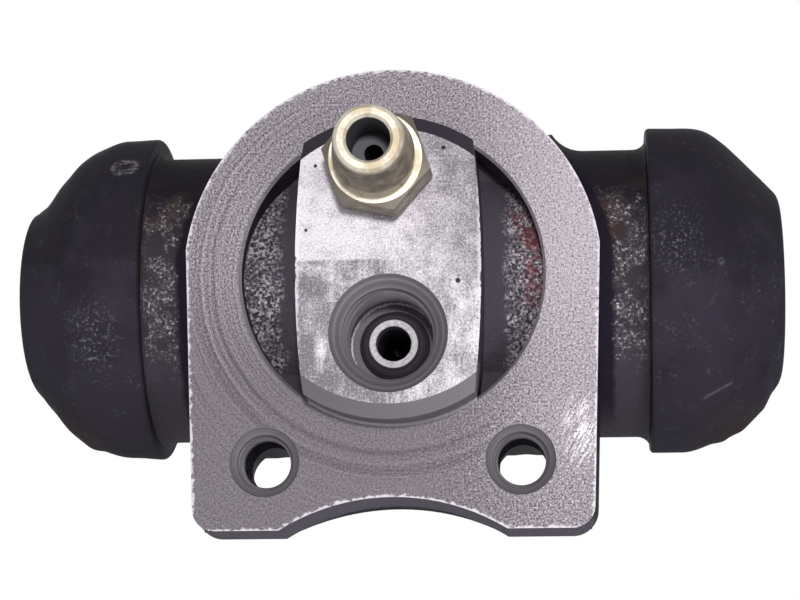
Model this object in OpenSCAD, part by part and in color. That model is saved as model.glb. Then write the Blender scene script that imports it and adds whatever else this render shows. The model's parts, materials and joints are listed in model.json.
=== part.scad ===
// Hydraulic wheel cylinder of a drum brake, double acting, bolted on from its mounting face.
// Millimetres. X runs along the bore, Z is up, and the mounting face looks towards -Y.
// The origin is the middle of the pilot boss, in the plane of the mounting face.

/* [Barrel] */
// Diameter of the bore that both pistons run in
bore_d = 20.64; // [19:0.02:22.3]
// Thickness of the cast wall round the bore
wall_t = 5.85; // [5:0.05:6.5]
// Length of the cast barrel from end to end
barrel_l = 66; // [64:0.5:68]
// Distance from the mounting face back to the bore axis
axis_depth = 18.5; // [17.5:0.25:20]
// Height of the bore axis above the middle of the pilot boss
axis_rise = 0.6; // [0:0.1:1.2]
// Extra radius of the thick middle of the barrel
hub_step = 1.9; // [1.2:0.1:2.4]
// Length of the thick middle of the barrel
hub_l = 34; // [30:0.5:36]
// Radius of the cast fillet where the middle runs out into the barrel
hub_fillet_r = 4; // [3:0.25:5]
// Length over which the barrel flares up to the boot rim
collar_l = 1.3; // [1:0.1:1.4]
// Radius of that flare
collar_fillet_r = 1.5; // [1.5:0.1:2.2]

// Step from the barrel down to the seat of the boot, on the radius
seat_step = 0.8; // [0.6:0.1:1]
// Chamfer round the barrel end
end_chamfer = 0.8; // [0.5:0.1:1]
// Chamfer at the mouth of the bore
bore_chamfer = 0.8; // [0.5:0.1:1]

/* [Mounting flange] */
// Radius of the round upper part of the flange
flange_r = 22.3; // [21.4:0.1:23.2]
// How far the flat sides of the flange cut into the round
side_inset = 0.3; // [0.1:0.05:0.8]
// Thickness of the flange plate
flange_t = 7; // [6:0.25:8]
// How far the back edge of the plate stands out past the front edge
draft = 0.35; // [0.1:0.05:0.6]
// Distance of the neck behind the plate inside the round of the flange
neck_inset = 3; // [2.5:0.1:4]
// Distance of the web behind the foot inside the sides of the foot
web_side_inset = 0.3; // [0.2:0.05:0.8]
// Distance of that web above the lower edge of the foot
web_foot_inset = 0.4; // [0.2:0.05:0.8]
// Distance from the middle of the pilot boss down to the lower edge of the foot
foot_drop = 27.2; // [26:0.1:28.5]
// Width of the foot along its lower edge
foot_w = 42.2; // [40:0.2:43.6]
// Corner radius of the foot
foot_corner_r = 2.4; // [1.2:0.1:3.4]
// Radius of the arch cut in the lower edge of the foot
arch_r = 22.9; // [20:0.1:27]
// Height of that arch
arch_rise = 3.4; // [2.4:0.1:4]

/* [Bolt holes] */
// Distance between the two bolt holes
bolt_spacing = 27; // [25:0.5:30]
// Distance from the middle of the pilot boss down to the bolt holes
bolt_drop = 20; // [19.6:0.1:21]
// Outer diameter of the thread in the bolt holes
bolt_hole_d = 5.9; // [4.9:0.1:6.3]
// Width of the countersink round each bolt hole, past the hole itself
bolt_csk = 0.75; // [0.5:0.05:1.1]

/* [Pilot boss] */
// Diameter of the pilot that centres the part in the backing plate
pilot_d = 32.2; // [31.4:0.1:33.4]
// Height of the pilot boss above the mounting face
pilot_h = 5; // [4:0.1:6]
// Width of the chamfer round the boss face
pilot_chamfer = 1.5; // [0.8:0.1:1.8]
// Height of that chamfer
pilot_chamfer_h = 0.8; // [0.5:0.1:1.2]
// Width of the boss across its middle
boss_w = 19.5; // [18:0.1:21]
// How far each side of the boss bulges past its ends
boss_bulge = 0.9; // [0.4:0.1:1.2]
// Distance of the ends of that bulge inside the pilot
bulge_inset = 2; // [1:0.1:3]
// Depth of the two pockets beside the boss
pocket_depth = 6.2; // [5:0.1:6.8]
// Width of the broken edge round the pockets
pocket_edge = 0.3; // [0.15:0.05:0.5]

/* [Pipe port] */
// Distance from the middle of the pilot boss down to the port
port_drop = 7.2; // [6.4:0.1:7.8]
// Outer diameter of the port thread
port_d = 9.9; // [9.2:0.1:10.2]
// Width of the countersink round the port, past the thread
port_csk = 1.3; // [0.8:0.05:1.6]
// Depth of the port from the boss face to its floor
port_l = 9.5; // [8.5:0.1:10.5]
// Depth of the relief groove below the port thread
port_relief = 0.35; // [0.2:0.05:0.6]
// Height of that groove above the pipe seat
port_relief_rise = 0.3; // [0:0.1:0.6]
// Height of the pipe seat that stands on the port floor
pipe_seat_h = 2; // [1.2:0.1:2.6]
// Diameter of the flat tip of the pipe seat
pipe_seat_d = 5.2; // [4.6:0.1:5.8]
// Growth of the pipe seat's radius per millimetre of its height
pipe_seat_taper = 0.6; // [0.4:0.05:0.7]
// Diameter of the passage from the pipe seat to the bore
feed_d = 3.8; // [2.6:0.1:3.9]

/* [Bleed screw] */
// Distance of the bleed screw axis inside the edge of the pilot
bleed_inset = 5.8; // [5.8:0.1:6.2]
// Sideways offset of the bleed screw axis
bleed_shift = 0.85; // [0:0.05:1]
// Width of the hexagon across flats
hex_af = 10; // [9:0.1:10]
// Height of the hexagon
hex_h = 4.4; // [3.6:0.1:5.5]
// Gap between the boss face and the underside of the hexagon
hex_gap = 0.8; // [0.4:0.1:1.4]
// Turn of the hexagon, in degrees
hex_turn = -11; // [-30:1:30]
// Diameter of the screw shank
shank_d = 7.2; // [6:0.1:7.6]
// Length of the screw below the hexagon, with its cone
shank_l = 13.4; // [12:0.1:14]
// Diameter of the flat end of the sealing cone
cone_tip_d = 2.6; // [2:0.1:3.2]
// Length of the hose nipple above the hexagon
nipple_l = 8.4; // [7:0.1:10]
// Diameter of the nipple tip
nipple_tip_d = 7.1; // [6.6:0.1:7.4]
// Diameter of the widest part of the nipple
nipple_d = 8.5; // [7.8:0.1:9]
// Diameter of the neck between nipple and hexagon
nipple_neck_d = 6.9; // [6.2:0.1:7.4]
// Length of that neck, up to the widest part
nipple_neck_l = 2.2; // [1.6:0.1:2.8]
// Length of the slope under the widest part of the nipple
nipple_slope_l = 0.7; // [0.4:0.1:1]
// Length of the widest part of the nipple
nipple_band_l = 0.5; // [0.2:0.1:0.8]
// Radius of the rounding of the nipple tip
nipple_tip_r = 0.7; // [0.5:0.1:0.9]
// Diameter of the wide mouth of the drilling in the nipple
nipple_bore_d = 4.5; // [3.6:0.1:4.9]
// Depth of that mouth
nipple_bore_l = 7; // [5:0.1:8]
// Chamfer of that mouth
nipple_bore_chamfer = 0.3; // [0.2:0.05:0.5]
// Diameter of the narrow drillings in the screw
bleed_drill_d = 2; // [1.6:0.1:2.4]
// Distance from the sealing cone to the cross drilling
bleed_drill_rise = 1.4; // [1:0.1:2]
// Gap round the screw in its hole
screw_gap = 0.05; // [0.03:0.01:0.08]

/* [Pistons] */
// Gap between piston and bore, on the radius
piston_gap = 0.03; // [0.02:0.01:0.06]
// How far each piston stands out of the barrel end
piston_out = 8.8; // [8:0.1:9.6]
// Distance from the full diameter part of each piston out to the barrel end
guide_inset = 2.5; // [1.5:0.1:4]
// Chamfer at the inner end of each piston
piston_chamfer = 0.5; // [0.3:0.1:0.8]
// Diameter of the piston nose
nose_d = 16.6; // [15.8:0.1:17]
// Step from the nose down to the piston head, on the radius
head_step = 0.6; // [0.4:0.1:0.8]
// Length of the piston head past the boot lip
head_l = 1.6; // [1.2:0.1:2]
// Chamfer round the piston head
head_chamfer = 0.4; // [0.2:0.1:0.6]
// Diameter of the groove for the boot lip
lip_groove_d = 13.6; // [12.4:0.1:14.2]
// Width of the shoe slot
shoe_slot_w = 6; // [5:0.1:7]
// Depth of the shoe slot
shoe_slot_l = 6.6; // [5:0.1:7.4]

/* [Seals and spring] */
// Gap between cup and bore, on the radius
cup_gap = 0.02; // [0.01:0.01:0.05]
// Thickness of the cup floor
cup_floor_t = 3; // [2.4:0.1:3.6]
// Length of the cup lip past its floor
cup_lip_l = 2; // [1.4:0.1:2.6]
// Thickness of the cup lip at its edge
cup_lip_t = 1.1; // [0.8:0.1:1.5]
// Width of the bevel on the cup lip
cup_bevel_w = 0.3; // [0.2:0.1:0.5]
// Length of that bevel
cup_bevel_l = 0.5; // [0.3:0.1:0.8]
// Width of the bevel at the back of the cup
cup_heel_w = 0.8; // [0.5:0.1:1.2]
// Length of that bevel
cup_heel_l = 1; // [0.6:0.1:1.4]
// Sheet thickness of the spring seats
seat_t = 0.8; // [0.5:0.1:1.1]
// Diameter of the hole in the spring seats
seat_hole_d = 3.2; // [2.4:0.1:4]
// Length of the collar on the spring seats
seat_collar_l = 1.4; // [0.8:0.1:2]
// Gap between spring seat and cup lip, on the radius
seat_gap = 0.2; // [0.1:0.05:0.4]
// Installed length of the expander spring
spring_l = 12.4; // [11.6:0.2:14]
// Mean diameter of the spring coil
coil_d = 12.4; // [11.6:0.1:12.8]
// Diameter of the spring wire
wire_d = 1.1; // [0.8:0.05:1.2]
// Turns of the spring between its two closed end turns
coil_turns = 3; // [2:1:4]

/* [Dust boots] */
// Thickness of the boot rim over the barrel end
boot_rim_t = 2.8; // [2.4:0.1:3.4]
// Length of the straight boot rim
boot_rim_l = 3.7; // [3:0.1:4.2]
// Radius of the boot shoulder, between the rim and the cone
boot_shoulder_r = 8; // [6.5:0.25:8.5]
// Diameter of the flat boot end
boot_end_d = 19.3; // [18.4:0.1:20.2]
// Radius of the edge round the flat boot end
boot_end_r = 1.8; // [1.2:0.1:2.4]
// Length of barrel end that the boot covers
boot_cover_l = 5.7; // [5.3:0.1:6.4]
// Distance of the boot end past the piston end
boot_proud = 0.3; // [0:0.1:0.6]
// Gap round the piston end in the boot opening, on the radius
boot_hole_gap = 0.4; // [0.2:0.05:0.6]
// Thickness of the boot lip that sits in the piston groove
boot_lip_t = 2.2; // [1.6:0.1:2.6]
// Depth of the groove in the barrel end that holds the boot bead
bead_groove = 1.2; // [0.8:0.1:1.4]
// Distance from the boot rim to that groove
bead_inset = 2.4; // [2:0.1:2.8]
// Width of that groove
bead_w = 1.9; // [1.5:0.1:2.1]
// Gap round the rubber where it sits in a groove
boot_gap = 0.08; // [0.05:0.01:0.12]

/* [Hidden] */
$fn = 96;
eps = 0.01;
bore_r = bore_d / 2;
barrel_r = bore_r + wall_t;
hub_r = barrel_r + hub_step;
end_x = barrel_l / 2;
seat_r = barrel_r - seat_step;
rim_x = end_x - boot_cover_l;
bead_r = seat_r - bead_groove;
bead_x0 = rim_x + bead_inset;
bead_x1 = bead_x0 + bead_w;
draft_slope = draft / flange_t;
neck_r = flange_r - neck_inset;
pilot_r = pilot_d / 2;
foot_half = foot_w / 2;
side_half = flange_r - side_inset;
lean = atan((side_half - foot_half) / foot_drop);
corner_v = -foot_drop + foot_corner_r;
corner_u = side_half + corner_v * tan(lean) - foot_corner_r / cos(lean);
barrel_low = axis_rise - barrel_r;
pipe_seat_foot_r = pipe_seat_d / 2 + pipe_seat_h * pipe_seat_taper;
hex_w0 = pilot_h + hex_gap;
hex_w1 = hex_w0 + hex_h;
bleed_v = pilot_r - bleed_inset;
shank_r = shank_d / 2;
cone_h = (shank_d - cone_tip_d) / 2;
cone_w0 = hex_w0 - shank_l;
cone_w1 = cone_w0 + cone_h;
seat_x0 = spring_l / 2;
seat_x1 = seat_x0 + seat_t;
piston_x0 = seat_x1 + cup_floor_t;
piston_x1 = end_x + piston_out;
guide_x = end_x - guide_inset;
piston_r = bore_r - piston_gap;
nose_r = nose_d / 2;
cup_r = bore_r - cup_gap;
cup_inner_r = cup_r - cup_lip_t;
cup_root_r = cup_inner_r - cup_lip_l * 0.8;
spring_seat_r = cup_root_r - seat_gap;
boot_r = seat_r + boot_rim_t;
boot_x1 = piston_x1 + boot_proud;
head_r = nose_r - head_step;
boot_hole_r = head_r + boot_hole_gap;
lip_x1 = piston_x1 - head_l;
lip_x0 = lip_x1 - boot_lip_t;
groove_x0 = lip_x0 - boot_gap;
groove_x1 = lip_x1 + boot_gap;
groove_r = lip_groove_d / 2;

// Places a shape drawn with its axis along Z on the bore axis, Z turning into X.
module along_bore() {
  translate([0, axis_depth, axis_rise])
    rotate([0, 90, 0])
      children();
}

// Places a shape drawn on the mounting face: X stays, Y turns into Z, and Z points out of the face.
module on_face() {
  rotate([90, 0, 0])
    children();
}

// Points of a circular arc, from angle a0 to a1.
function arc_points(cx, cy, r, a0, a1, n) =
  [for (i = [0:n]) [cx + r * cos(a0 + (a1 - a0) * i / n), cy + r * sin(a0 + (a1 - a0) * i / n)]];

// Right half of the barrel outline as [radius, x]: thick middle, fillet, barrel, collar, boot seat.
hub_x = hub_l / 2;
hub_a = acos(1 - hub_step / hub_fillet_r);
fillet_x = hub_x + hub_fillet_r * sin(hub_a);
collar_a = asin(collar_l / collar_fillet_r);
hub_arc = arc_points(fillet_x, barrel_r + hub_fillet_r, hub_fillet_r, 270 - hub_a, 270, 6);
collar_x = rim_x - collar_l;
collar_arc = arc_points(collar_x, barrel_r + collar_fillet_r, collar_fillet_r, 270, 270 + collar_a, 4);
cast_half = [for (p = concat(hub_arc, collar_arc)) [p[1], p[0]]];
barrel_half = concat(
  cast_half,
  [
    [seat_r, rim_x + eps],
    [seat_r, bead_x0],
    [bead_r, bead_x0],
    [bead_r, bead_x1],
    [seat_r, bead_x1],
    [seat_r, end_x - end_chamfer],
    [seat_r - end_chamfer, end_x]
  ]
);

// Solid of revolution with the barrel outline, without its bore.
module barrel_blank() {
  n = len(barrel_half);
  left_half = [for (i = [0:n - 1]) [barrel_half[n - 1 - i][0], -barrel_half[n - 1 - i][1]]];
  along_bore()
    rotate_extrude()
      polygon(concat([[0, -end_x]], left_half, barrel_half, [[0, end_x]]));
}

// Plain barrel without the thick middle, which is what shows in the pockets.
module barrel_core() {
  half = hub_x + hub_fillet_r;
  along_bore()
    translate([0, 0, -half])
      cylinder(h = 2 * half, r = barrel_r);
}

// Outline of the flange between its flat sides, with the two lower corners cut off, grown outwards by g.
function side_at(v, g) = side_half + v * tan(lean) + g / cos(lean);
function flange_outline(g) = [
  [-side_at(flange_r + 2, g), flange_r + 2],
  [-corner_u - (foot_corner_r + g) * cos(lean), corner_v - (foot_corner_r + g) * sin(lean)],
  [-corner_u, corner_v - foot_corner_r - g],
  [corner_u, corner_v - foot_corner_r - g],
  [corner_u + (foot_corner_r + g) * cos(lean), corner_v - (foot_corner_r + g) * sin(lean)],
  [side_at(flange_r + 2, g), flange_r + 2]
];

// Flange plate with draft: round top, flat tapering sides and rounded lower corners.
module flange_plate() {
  front = flange_outline(0);
  back = flange_outline(draft);
  on_face() {
    intersection() {
      polyhedron(
        points = concat(
          [for (p = back) [p[0], p[1], -flange_t]],
          [for (p = front) [p[0], p[1], 0]]
        ),
        faces = concat(
          [[0, 1, 2, 3, 4, 5], [11, 10, 9, 8, 7, 6]],
          [for (i = [0:5]) [(i + 1) % 6, i, i + 6, (i + 1) % 6 + 6]]
        )
      );
      union() {
        translate([0, 0, -flange_t - 1])
          cylinder(
            h = flange_t + 2,
            r1 = flange_r + draft + draft_slope,
            r2 = flange_r - draft_slope
          );
        translate([-2 * flange_r, -2 * foot_drop, -flange_t - 1])
          cube([4 * flange_r, 2 * foot_drop, flange_t + 2]);
      }
    }
    for (s = [-1, 1])
      translate([s * corner_u, corner_v, -flange_t])
        cylinder(h = flange_t, r1 = foot_corner_r + draft, r2 = foot_corner_r);
  }
}

// Round neck and sloping web that join the plate to the barrel.
module neck_and_web() {
  on_face()
    translate([0, 0, -axis_depth])
      cylinder(h = axis_depth - flange_t + 0.5, r = neck_r);
  translate([web_side_inset - foot_half, 0, 0])
    rotate([90, 0, 90])
      linear_extrude(height = foot_w - 2 * web_side_inset)
        polygon([
          [flange_t - 0.5, axis_rise - bore_r],
          [axis_depth, axis_rise - bore_r],
          [axis_depth, barrel_low],
          [flange_t, web_foot_inset - foot_drop],
          [flange_t - 0.5, web_foot_inset - foot_drop]
        ]);
}

// Boss strip in plan: two wide arcs that bulge past the ends.
module boss_plan() {
  half = pilot_r - bulge_inset;
  bow_r = (half * half + boss_bulge * boss_bulge) / (2 * boss_bulge);
  intersection() {
    translate([boss_w / 2 - bow_r, 0])
      circle(r = bow_r, $fn = 360);
    translate([bow_r - boss_w / 2, 0])
      circle(r = bow_r, $fn = 360);
    square([boss_w + 2, pilot_d + 2], center = true);
  }
}

// Pilot boss: the strip cut to the pilot circle, with a chamfer round its face and ends flush in the plate.
module pilot_boss() {
  base = pocket_depth + 1;
  on_face()
    intersection() {
      translate([0, 0, -base])
        linear_extrude(height = base + pilot_h)
          boss_plan();
      union() {
        translate([0, 0, -base])
          cylinder(h = base + pilot_h - pilot_chamfer_h, r = pilot_r);
        translate([0, 0, pilot_h - pilot_chamfer_h])
          cylinder(h = pilot_chamfer_h, r1 = pilot_r, r2 = pilot_r - pilot_chamfer);
        translate([0, 0, -2 * pocket_edge])
          cylinder(h = 2 * pocket_edge, r = pilot_r + 2 * pocket_edge);
      }
    }
}

// Tapped pipe port with its countersink, raised pipe seat and passage to the bore.
module port_cut() {
  on_face()
    translate([0, -port_drop, 0]) {
      difference() {
        translate([0, 0, pilot_h - port_l])
          cylinder(h = port_l + 1, r = port_d / 2);
        translate([0, 0, pilot_h - port_l - 1])
          cylinder(h = 1 + eps, r = pipe_seat_foot_r);
        translate([0, 0, pilot_h - port_l])
          cylinder(h = pipe_seat_h, r1 = pipe_seat_foot_r, r2 = pipe_seat_d / 2);
      }
      difference() {
        translate([0, 0, pilot_h - port_l])
          cylinder(h = pipe_seat_h + port_relief_rise, r = port_d / 2 + port_relief);
        translate([0, 0, pilot_h - port_l - 1])
          cylinder(h = pipe_seat_h + 2, r = port_d / 2 - eps);
      }
      translate([0, 0, pilot_h - port_csk])
        cylinder(h = port_csk + eps, r1 = port_d / 2, r2 = port_d / 2 + port_csk + eps);
      translate([0, 0, -axis_depth])
        cylinder(h = axis_depth + pilot_h - 1, r = feed_d / 2);
    }
}

// Tapped hole of the bleed screw with its cone seat and passage to the top of the bore.
module bleed_cut() {
  on_face()
    translate([-bleed_shift, bleed_v, 0]) {
      translate([0, 0, cone_w1 - screw_gap])
        cylinder(h = pilot_h - cone_w1 + screw_gap + 1, r = shank_r + screw_gap);
      translate([0, 0, cone_w0 - 1.5 * screw_gap])
        cylinder(h = cone_h + 0.5 * screw_gap, r1 = cone_tip_d / 2, r2 = shank_r + 0.5 * screw_gap);
      translate([0, 0, -axis_depth])
        cylinder(h = axis_depth + cone_w0, r = cone_tip_d / 2);
    }
}

// Tapped bolt holes through flange and web, countersunk on the mounting face.
module bolt_cuts() {
  on_face()
    for (s = [-1, 1])
      translate([s * bolt_spacing / 2, -bolt_drop, 0]) {
        translate([0, 0, -axis_depth - 6])
          cylinder(h = axis_depth + 8, r = bolt_hole_d / 2);
        translate([0, 0, -bolt_csk])
          cylinder(h = bolt_csk + eps, r1 = bolt_hole_d / 2, r2 = bolt_hole_d / 2 + bolt_csk + eps);
      }
}

// One-piece iron casting with all its machining.
module housing() {
  color("#5b5757")
    difference() {
      union() {
        difference() {
          union() {
            flange_plate();
            neck_and_web();
            barrel_blank();
          }
          on_face() {
            translate([0, 0, -pocket_depth])
              cylinder(h = pocket_depth + 1, r = pilot_r);
            translate([0, 0, -pocket_edge])
              cylinder(h = pocket_edge + eps, r1 = pilot_r, r2 = pilot_r + pocket_edge + eps);
          }
          on_face()
            translate([0, arch_rise - arch_r - foot_drop, -axis_depth])
              cylinder(
                h = axis_depth + 1,
                r1 = arch_r - draft_slope * axis_depth,
                r2 = arch_r + draft_slope
              );
        }
        barrel_core();
        pilot_boss();
      }
      along_bore()
        translate([0, 0, -end_x - 1])
          cylinder(h = barrel_l + 2, r = bore_r);
      for (s = [0, 1])
        mirror([s, 0, 0])
          along_bore()
            translate([0, 0, end_x - bore_chamfer])
              cylinder(h = bore_chamfer + eps, r1 = bore_r, r2 = bore_r + bore_chamfer + eps);
      port_cut();
      bleed_cut();
      bolt_cuts();
    }
}

// Bleed screw: drilled nipple, neck, hexagon, shank and sealing cone.
module bleed_screw() {
  tip_w = hex_w1 + nipple_l;
  wide_w = hex_w1 + nipple_neck_l;
  color("#b9a878")
    on_face()
      translate([-bleed_shift, bleed_v, 0])
        difference() {
          union() {
            rotate_extrude()
              polygon([
                [0, cone_w0],
                [cone_tip_d / 2, cone_w0],
                [shank_r, cone_w1],
                [shank_r, hex_w0 + eps],
                [nipple_neck_d / 2, hex_w0 + eps],
                [nipple_neck_d / 2, wide_w - nipple_slope_l],
                [nipple_d / 2, wide_w],
                [nipple_d / 2, wide_w + nipple_band_l],
                [nipple_tip_d / 2 + 0.12, tip_w - nipple_tip_r],
                [nipple_tip_d / 2 - 0.1, tip_w - 0.35 * nipple_tip_r],
                [nipple_tip_d / 2 - 0.55 * nipple_tip_r, tip_w],
                [0, tip_w]
              ]);
            intersection() {
              translate([0, 0, hex_w0])
                rotate([0, 0, hex_turn])
                  cylinder(h = hex_h, r = hex_af / 2 / cos(30), $fn = 6);
              translate([0, 0, hex_w0 - 1])
                cylinder(h = hex_h + 1, r1 = hex_af / 2 - 0.15 + (hex_h + 1) * 1.7, r2 = hex_af / 2 - 0.15);
            }
          }
          translate([0, 0, tip_w - nipple_bore_l])
            cylinder(h = nipple_bore_l + 1, r = nipple_bore_d / 2);
          translate([0, 0, tip_w - nipple_bore_chamfer])
            cylinder(
              h = nipple_bore_chamfer + eps,
              r1 = nipple_bore_d / 2,
              r2 = nipple_bore_d / 2 + nipple_bore_chamfer
            );
          translate([0, 0, cone_w1 + bleed_drill_rise])
            cylinder(h = tip_w - nipple_bore_l + 1 - cone_w1 - bleed_drill_rise, r = bleed_drill_d / 2);
          translate([0, 0, cone_w1 + bleed_drill_rise + bleed_drill_d / 2])
            rotate([90, 0, 0])
              cylinder(h = shank_d + 2, r = bleed_drill_d / 2, center = true);
        }
}

// Piston of the right end: chamfered guide, nose, boot groove, head and shoe slot.
module piston_right() {
  color("#b4b6ba")
    difference() {
      along_bore()
        rotate_extrude()
          polygon([
            [0, piston_x0],
            [piston_r - piston_chamfer, piston_x0],
            [piston_r, piston_x0 + piston_chamfer],
            [piston_r, guide_x],
            [nose_r, guide_x + piston_r - nose_r],
            [nose_r, groove_x0],
            [groove_r, groove_x0],
            [groove_r, groove_x1],
            [head_r, groove_x1],
            [head_r, piston_x1 - head_chamfer],
            [head_r - head_chamfer, piston_x1],
            [0, piston_x1]
          ]);
      translate([piston_x1 - shoe_slot_l, axis_depth - shoe_slot_w / 2, axis_rise - nose_r - 2])
        cube([shoe_slot_l + 1, shoe_slot_w, nose_d + 4]);
    }
}

// Piston of the left end.
module piston_left() {
  mirror([1, 0, 0])
    piston_right();
}

// Rubber cup against the right piston, lip towards the middle.
module cup_seal_right() {
  color("#232325")
    along_bore()
      rotate_extrude()
        polygon([
          [0, seat_x1],
          [cup_root_r, seat_x1],
          [cup_inner_r, seat_x1 - cup_lip_l],
          [cup_r - cup_bevel_w, seat_x1 - cup_lip_l],
          [cup_r, seat_x1 - cup_lip_l + cup_bevel_l],
          [cup_r, piston_x0 - cup_heel_l],
          [cup_r - cup_heel_w, piston_x0],
          [0, piston_x0]
        ]);
}

// Rubber cup against the left piston.
module cup_seal_left() {
  mirror([1, 0, 0])
    cup_seal_right();
}

// Pressed steel seat in the right cup: a ring with a collar that centres the spring.
module spring_seat_right() {
  collar_r = coil_d / 2 - wire_d / 2 - 0.4;
  color("#8c8f94")
    along_bore()
      rotate_extrude()
        polygon([
          [seat_hole_d / 2, seat_x0],
          [collar_r - seat_t, seat_x0],
          [collar_r - seat_t, seat_x0 - seat_collar_l],
          [collar_r, seat_x0 - seat_collar_l],
          [collar_r, seat_x0],
          [spring_seat_r, seat_x0],
          [spring_seat_r, seat_x1],
          [seat_hole_d / 2, seat_x1]
        ]);
}

// Pressed steel seat in the left cup.
module spring_seat_left() {
  mirror([1, 0, 0])
    spring_seat_right();
}

// Height of the wire centre along the spring after t turns: closed end turns, open turns between.
wire_r = wire_d / 2;
coil_span = spring_l - wire_d - 0.04;
end_pitch = wire_d * 1.08;
open_pitch = (coil_span - 2 * end_pitch) / coil_turns;
function coil_z(t) =
  t < 1 ? t * end_pitch
  : t < coil_turns + 1 ? end_pitch + (t - 1) * open_pitch
  : end_pitch + coil_turns * open_pitch + (t - coil_turns - 1) * end_pitch;

// Coil spring between the two seats: a round wire carried along a helix.
module expander_spring() {
  steps = 20;
  sides = 8;
  n = (coil_turns + 2) * steps;
  points = [
    for (i = [0:n])
      for (j = [0:sides - 1])
        let (
          a = 360 * i / steps,
          b = 360 * j / sides,
          r = coil_d / 2 + wire_r * cos(b)
        )
        [r * cos(a), r * sin(a), coil_z(i / steps) - coil_span / 2 + wire_r * sin(b)]
  ];
  skin = [
    for (i = [0:n - 1])
      for (j = [0:sides - 1])
        let (k = (j + 1) % sides)
        [i * sides + j, (i + 1) * sides + j, (i + 1) * sides + k, i * sides + k]
  ];
  color("#9a9da2")
    along_bore()
      polyhedron(
        points = points,
        faces = concat(
          [[for (j = [0:sides - 1]) j]],
          skin,
          [[for (j = [0:sides - 1]) n * sides + sides - 1 - j]]
        )
      );
}

// Outside of the boot as [radius, x]: shoulder arc, cone that touches both arcs, end arc.
function boot_outside(x0, x1, r0) =
  let (
    shoulder = [x0, r0 - boot_shoulder_r],
    end = [x1 - boot_end_r, boot_end_d / 2],
    run = end - shoulder,
    lean_a = asin((boot_shoulder_r - boot_end_r) / norm(run)) - atan2(run[1], run[0]),
    path = concat(
      arc_points(shoulder[0], shoulder[1], boot_shoulder_r, 90, 90 - lean_a, 8),
      arc_points(end[0], end[1], boot_end_r, 90 - lean_a, 0, 6)
    )
  )
  [for (p = path) [p[1], p[0]]];

// Hollow of the boot as [radius, x], from the barrel end to the lip.
function boot_hollow(x0, x1, r0, r1, n) =
  [for (i = [0:n])
    let (a = 90 * i / n)
    [r1 + (r0 - r1) * pow(cos(a), 1.333), x0 + (x1 - x0) * pow(sin(a), 1.333)]];

// Rubber dust boot of the right end: rim, dome, recessed lip, bead in the barrel groove.
module dust_boot_right() {
  inner_r = seat_r + boot_gap;
  dome_x0 = rim_x + boot_rim_l;
  cave_x0 = end_x + 0.4;
  outer = boot_outside(dome_x0, boot_x1, boot_r);
  cave = boot_hollow(cave_x0, lip_x0, inner_r, nose_r + 0.5, 8);
  color("#2b292d")
    along_bore()
      rotate_extrude()
        polygon(concat(
          [[inner_r, rim_x + boot_gap], [boot_r - 0.3, rim_x + boot_gap], [boot_r, rim_x + 0.4]],
          outer,
          [
            [boot_hole_r, boot_x1],
            [boot_hole_r, lip_x1],
            [groove_r + boot_gap, lip_x1],
            [groove_r + boot_gap, lip_x0]
          ],
          [for (i = [0:8]) cave[8 - i]],
          [
            [inner_r, bead_x1 - boot_gap],
            [bead_r + boot_gap, bead_x1 - boot_gap],
            [bead_r + boot_gap, bead_x0 + boot_gap],
            [inner_r, bead_x0 + boot_gap]
          ]
        ));
}

// Rubber dust boot of the left end.
module dust_boot_left() {
  mirror([1, 0, 0])
    dust_boot_right();
}

housing();
dust_boot_left();
dust_boot_right();
bleed_screw();
piston_left();
piston_right();
cup_seal_left();
cup_seal_right();
spring_seat_left();
spring_seat_right();
expander_spring();
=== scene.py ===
"""Wheel cylinder of a drum brake: finishes, rubber boots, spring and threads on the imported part.

Lengths are millimetres in the part's own frame, and become metres where a mesh or a lamp is made.
"""

import json
import logging
import math
from dataclasses import dataclass
from enum import Enum
from typing import Any

import bpy
import numpy as np
from mathutils import Matrix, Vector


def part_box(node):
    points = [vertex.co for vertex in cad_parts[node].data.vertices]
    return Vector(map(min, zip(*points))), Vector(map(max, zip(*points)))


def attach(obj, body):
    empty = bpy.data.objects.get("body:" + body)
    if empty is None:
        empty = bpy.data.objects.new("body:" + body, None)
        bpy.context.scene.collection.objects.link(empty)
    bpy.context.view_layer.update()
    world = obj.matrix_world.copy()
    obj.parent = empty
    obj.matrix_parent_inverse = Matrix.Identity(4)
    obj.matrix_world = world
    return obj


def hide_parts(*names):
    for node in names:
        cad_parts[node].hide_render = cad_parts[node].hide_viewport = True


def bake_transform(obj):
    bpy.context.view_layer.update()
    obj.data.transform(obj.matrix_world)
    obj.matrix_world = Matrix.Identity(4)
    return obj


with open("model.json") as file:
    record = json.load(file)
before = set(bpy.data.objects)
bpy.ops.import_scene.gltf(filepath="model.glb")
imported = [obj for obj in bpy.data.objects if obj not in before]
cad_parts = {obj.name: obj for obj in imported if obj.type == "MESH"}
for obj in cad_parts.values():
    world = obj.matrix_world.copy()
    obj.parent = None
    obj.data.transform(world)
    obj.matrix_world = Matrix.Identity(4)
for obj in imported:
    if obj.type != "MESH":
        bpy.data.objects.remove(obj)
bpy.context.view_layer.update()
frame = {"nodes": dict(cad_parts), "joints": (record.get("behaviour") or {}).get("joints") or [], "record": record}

MM = 0.001
LOG = logging.getLogger("wheel_cylinder")

Array = np.ndarray
Socket = bpy.types.NodeSocket
Vec = tuple[float, float, float]
Colour = tuple[float, float, float, float]

# Axes that count in a distance: from a point, from a line along X and from a line along Y
FROM_POINT: Vec = (1, 1, 1)
FROM_X_LINE: Vec = (0, 1, 1)
FROM_Y_LINE: Vec = (1, 0, 1)


class Side(Enum):
    """End of the cylinder, with the sign of its X direction."""

    LEFT = -1
    RIGHT = 1

    @property
    def word(self) -> str:
        """Name of the end as the nodes and bodies spell it."""
        return self.name.lower()


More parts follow.
